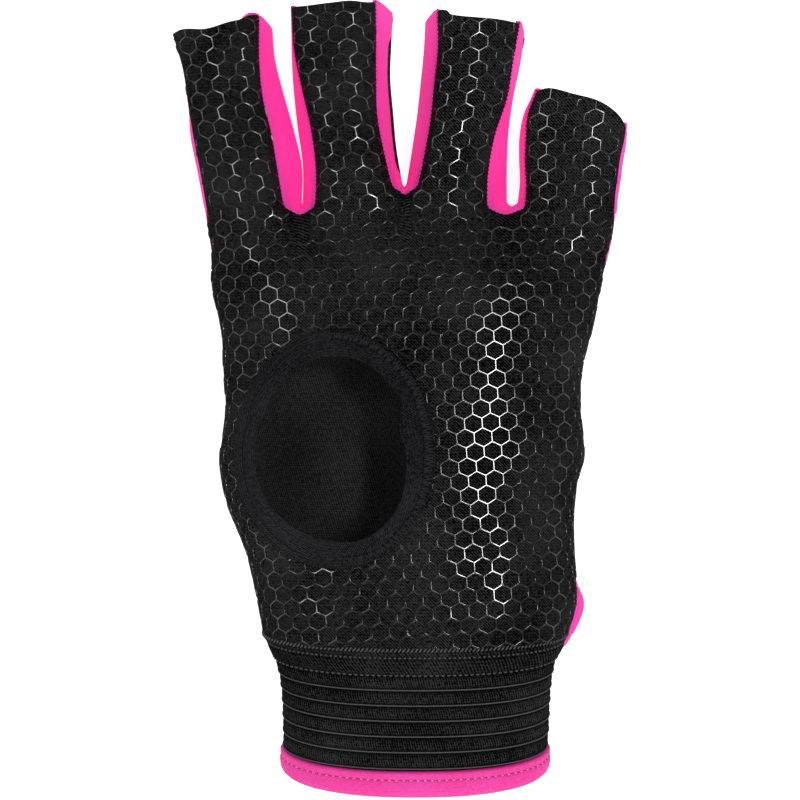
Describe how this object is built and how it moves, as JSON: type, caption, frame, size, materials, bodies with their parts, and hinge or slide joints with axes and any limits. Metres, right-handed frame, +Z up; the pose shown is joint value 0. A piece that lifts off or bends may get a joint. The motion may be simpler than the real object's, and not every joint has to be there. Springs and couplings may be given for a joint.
{
  "type": "field hockey glove, left hand, half fingers",
  "caption": "Left-hand half-finger glove lying palm up, with a raised honeycomb grip print, a rimmed thumb opening, pink finger side walls and a ribbed elastic cuff.",
  "frame": {"origin": "on the surface that the glove lies on, under the middle of its box", "axes": "+X towards the little finger, +Y towards the fingertips, +Z up out of the palm"},
  "size_m": [0.1134, 0.193, 0.0316],
  "materials": {
    "printed_knit": "fine black knit with a raised glossy black silicone honeycomb print",
    "plain_knit": "matte charcoal twill knit",
    "padded_cloth": "matte black padded cloth with sewn channels",
    "pink_stretch": "smooth satin stretch knit in hot pink",
    "ribbed_elastic": "matte black elastic with fine crosswise ribs",
    "pink_binding": "hot pink folded binding with one stitched row"
  },
  "bodies": {
    "root": {"palm_panel": "printed_knit", "thumb_opening_rim": "plain_knit", "back_panel": "padded_cloth", "fourchette_index_middle": "pink_stretch", "fourchette_middle_ring": "pink_stretch", "fourchette_ring_little": "pink_stretch", "side_wall_index": "pink_stretch", "side_wall_little": "pink_stretch", "wrist_join_band": "plain_knit", "ribbed_cuff": "ribbed_elastic", "cuff_hem_binding": "pink_binding"}
  },
  "joints": []
}
